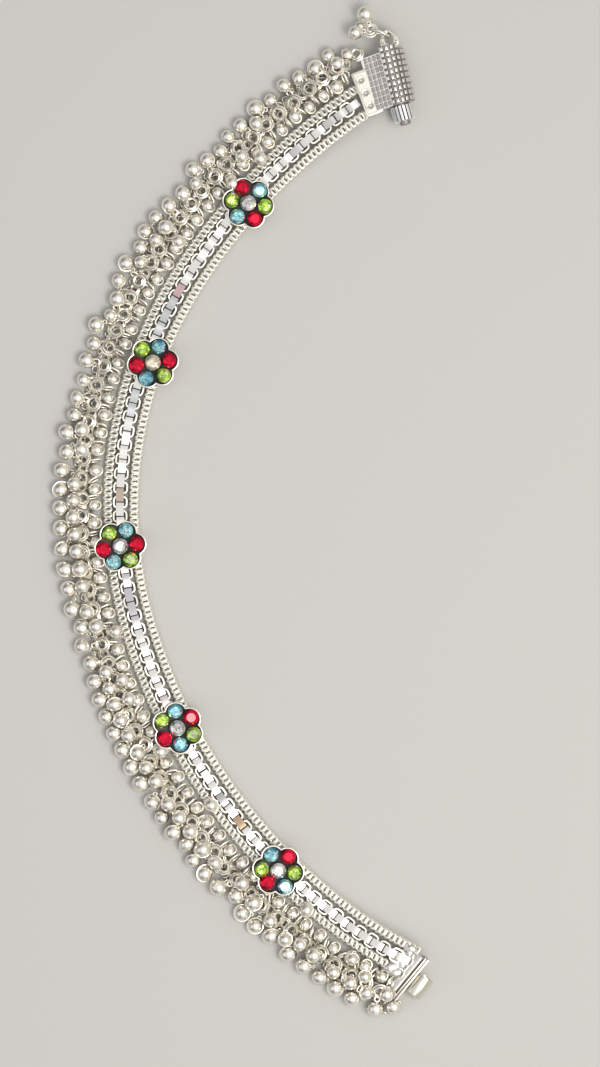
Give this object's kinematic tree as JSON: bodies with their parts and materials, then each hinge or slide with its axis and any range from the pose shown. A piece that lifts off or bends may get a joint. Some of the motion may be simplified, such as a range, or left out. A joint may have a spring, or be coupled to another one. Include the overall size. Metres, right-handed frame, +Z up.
{
  "type": "anklet",
  "caption": "Open silver anklet of three joined chains with stone-set flowers, a fringe of small hollow balls and a barrel clasp whose screw draws out.",
  "frame": {"origin": "on the surface it rests on, under the middle of its bounding box", "axes": "+Z up from the surface, +Y towards the clasp barrel's end, +X towards the open side of the arc"},
  "size_m": [0.0909, 0.2432, 0.0071],
  "materials": {
    "chain_silver": "bright silver wire, darkened in the crevices",
    "ball_silver": "polished thin silver sheet",
    "clasp_silver": "white-boiled silver, engraved and dotted",
    "tray_silver": "silver wall with a blackened floor",
    "red_stone": "faceted, foil-backed",
    "green_stone": "faceted, foil-backed",
    "blue_stone": "faceted, foil-backed",
    "clear_stone": "faceted, foil-backed"
  },
  "bodies": {
    "anklet": {"inner_edge_chain": "chain_silver", "box_chain": "chain_silver", "outer_edge_chain": "chain_silver", "small_ball_row": "ball_silver", "ring_row": "ball_silver", "ball_fringe_1": "ball_silver", "ball_fringe_2": "ball_silver", "ball_fringe_3": "ball_silver", "ball_fringe_4": "ball_silver", "flower_1": "tray_silver", "flower_2": "tray_silver", "flower_3": "tray_silver", "flower_4": "tray_silver", "flower_5": "tray_silver", "flower_1_red_1": "red_stone", "flower_1_blue_1": "blue_stone", "flower_1_green_1": "green_stone", "flower_1_red_2": "red_stone", "flower_1_blue_2": "blue_stone", "flower_1_green_2": "green_stone", "flower_1_clear": "clear_stone", "flower_2_red_1": "red_stone", "flower_2_green_1": "green_stone", "flower_2_blue_1": "blue_stone", "flower_2_red_2": "red_stone", "flower_2_green_2": "green_stone", "flower_2_blue_2": "blue_stone", "flower_2_clear": "clear_stone", "flower_3_red_1": "red_stone", "flower_3_green_1": "green_stone", "flower_3_blue_1": "blue_stone", "flower_3_red_2": "red_stone", "flower_3_green_2": "green_stone", "flower_3_blue_2": "blue_stone", "flower_3_clear": "clear_stone", "flower_4_red_1": "red_stone", "flower_4_green_1": "green_stone", "flower_4_blue_1": "blue_stone", "flower_4_red_2": "red_stone", "flower_4_green_2": "green_stone", "flower_4_blue_2": "blue_stone", "flower_4_clear": "clear_stone", "flower_5_red_1": "red_stone", "flower_5_green_1": "green_stone", "flower_5_blue_1": "blue_stone", "flower_5_red_2": "red_stone", "flower_5_green_2": "green_stone", "flower_5_blue_2": "blue_stone", "flower_5_clear": "clear_stone", "clasp_barrel": "clasp_silver", "charm_link": "ball_silver", "charm_ring": "ball_silver", "charm_ball_1": "ball_silver", "charm_ball_2": "ball_silver", "charm_ball_3": "ball_silver", "clasp_tongue": "clasp_silver"},
    "screw": {"clasp_screw": "clasp_silver"}
  },
  "joints": [
    {"name": "screw_draw", "type": "slide", "parent": "anklet", "child": "screw", "axis": [0.2717, -0.9624, 0], "range_m": [0, 0.0098]}
  ]
}
